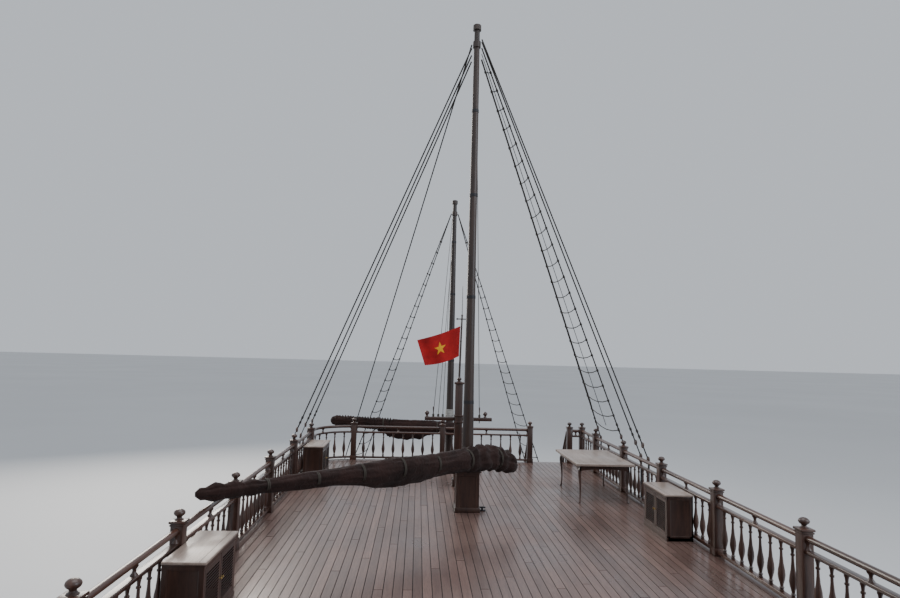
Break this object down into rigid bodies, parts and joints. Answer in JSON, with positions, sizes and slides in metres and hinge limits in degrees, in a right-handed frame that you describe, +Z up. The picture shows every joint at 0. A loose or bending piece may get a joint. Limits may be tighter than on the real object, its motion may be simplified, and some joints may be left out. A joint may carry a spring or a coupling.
{
  "type": "chinese junk ship",
  "caption": "Wooden cruise junk afloat: decked hull, long deckhouse under a railed sun deck, raised stern saloon, two masts with furled sails and shrouds.",
  "frame": {"origin": "on the centreline at the waterline, almost amidships", "axes": "+Y towards the bow, +X to starboard, +Z up"},
  "size_m": [7.58, 27.68, 14.79],
  "materials": {
    "hull_paint": "satin",
    "deck_wood": "gloss",
    "wall_wood": "satin",
    "rail_wood": "satin",
    "mast_wood": "satin",
    "sail_cloth": "matte",
    "rope": "matte",
    "flag_cloth": "matte",
    "bronze": "satin",
    "iron": "matte"
  },
  "bodies": {
    "root": {"anchor": "iron", "cap_rail_port": "rail_wood", "cap_rail_starboard": "rail_wood", "flag": "flag_cloth", "flag_post": "rail_wood", "flag_staff": "iron", "fore_mast": "mast_wood", "fore_mast_step": "rail_wood", "fore_shrouds_port": "rope", "fore_shrouds_starboard": "rope", "house_front": "wall_wood", "house_port": "wall_wood", "house_starboard": "wall_wood", "hull": "hull_paint", "keel": "hull_paint", "locker_port_aft": "rail_wood", "locker_port_fore": "rail_wood", "locker_starboard": "rail_wood", "main_deck": "deck_wood", "main_mast": "mast_wood", "main_mast_step": "rail_wood", "main_shrouds_port": "rope", "main_shrouds_starboard": "rope", "poop_deck": "deck_wood", "poop_rail": "rail_wood", "poop_steps": "deck_wood", "saloon_aft": "wall_wood", "saloon_front": "wall_wood", "saloon_port": "wall_wood", "saloon_starboard": "wall_wood", "saloon_wing_port": "wall_wood", "saloon_wing_starboard": "wall_wood", "side_posts_port": "rail_wood", "side_posts_starboard": "rail_wood", "stairs": "rail_wood", "sun_deck": "deck_wood", "sun_rail_forward": "rail_wood", "sun_rail_port": "rail_wood", "sun_rail_starboard": "rail_wood", "table": "rail_wood", "windlass": "iron"},
    "propeller": {"propeller": "bronze"},
    "rudder": {"rudder": "hull_paint"},
    "main_sail": {"main_sail": "sail_cloth"},
    "fore_sail": {"fore_sail": "sail_cloth"},
    "front_door_port": {"front_door_port": "wall_wood"},
    "front_door_starboard": {"front_door_starboard": "wall_wood"},
    "side_door_port": {"side_door_port": "wall_wood"},
    "side_door_starboard": {"side_door_starboard": "wall_wood"},
    "locker_port_aft_door_aft": {"locker_port_aft_door_aft": "rail_wood"},
    "locker_port_aft_door_fore": {"locker_port_aft_door_fore": "rail_wood"},
    "locker_port_fore_door_aft": {"locker_port_fore_door_aft": "rail_wood"},
    "locker_port_fore_door_fore": {"locker_port_fore_door_fore": "rail_wood"},
    "locker_starboard_door_aft": {"locker_starboard_door_aft": "rail_wood"},
    "locker_starboard_door_fore": {"locker_starboard_door_fore": "rail_wood"}
  },
  "joints": [
    {"name": "propeller_spin", "type": "hinge", "parent": "root", "child": "propeller", "pos_m": [0, -11.45, -0.79], "axis": [0, 1, 0], "continuous": true},
    {"name": "rudder_turn", "type": "hinge", "parent": "root", "child": "rudder", "pos_m": [0, -12.5, -0.7], "axis": [0, 0, 1], "range_deg": [-35, 35]},
    {"name": "main_sail_swing", "type": "hinge", "parent": "root", "child": "main_sail", "pos_m": [0, 0.4, 4.9], "axis": [0, 0, 1], "range_deg": [-8, 7]},
    {"name": "fore_sail_swing", "type": "hinge", "parent": "root", "child": "fore_sail", "pos_m": [0, 7.2, 4.64], "axis": [0, 0, 1], "range_deg": [-15, 5]},
    {"name": "front_door_port_hinge", "type": "hinge", "parent": "root", "child": "front_door_port", "pos_m": [-0.716, 5.306, 2.6], "axis": [0, 0, 1], "range_deg": [0, 95]},
    {"name": "front_door_starboard_hinge", "type": "hinge", "parent": "root", "child": "front_door_starboard", "pos_m": [0.716, 5.306, 2.6], "axis": [0, 0, -1], "range_deg": [0, 95]},
    {"name": "side_door_port_slide", "type": "slide", "parent": "root", "child": "side_door_port", "axis": [0, -1, 0], "range_m": [0, 0.8]},
    {"name": "side_door_starboard_slide", "type": "slide", "parent": "root", "child": "side_door_starboard", "axis": [0, -1, 0], "range_m": [0, 0.8]},
    {"name": "locker_port_aft_door_aft_hinge", "type": "hinge", "parent": "root", "child": "locker_port_aft_door_aft", "pos_m": [-3.074, -4.822, 4.25], "axis": [0, 0, -1], "range_deg": [0, 100]},
    {"name": "locker_port_aft_door_fore_hinge", "type": "hinge", "parent": "root", "child": "locker_port_aft_door_fore", "pos_m": [-3.074, -3.778, 4.25], "axis": [0, 0, 1], "range_deg": [0, 100]},
    {"name": "locker_port_fore_door_aft_hinge", "type": "hinge", "parent": "root", "child": "locker_port_fore_door_aft", "pos_m": [-3.074, 2.998, 4.25], "axis": [0, 0, -1], "range_deg": [0, 100]},
    {"name": "locker_port_fore_door_fore_hinge", "type": "hinge", "parent": "root", "child": "locker_port_fore_door_fore", "pos_m": [-3.074, 3.992, 4.25], "axis": [0, 0, 1], "range_deg": [0, 100]},
    {"name": "locker_starboard_door_aft_hinge", "type": "hinge", "parent": "root", "child": "locker_starboard_door_aft", "pos_m": [3.074, -1.422, 4.25], "axis": [0, 0, 1], "range_deg": [0, 100]},
    {"name": "locker_starboard_door_fore_hinge", "type": "hinge", "parent": "root", "child": "locker_starboard_door_fore", "pos_m": [3.074, -0.478, 4.25], "axis": [0, 0, -1], "range_deg": [0, 100]}
  ]
}
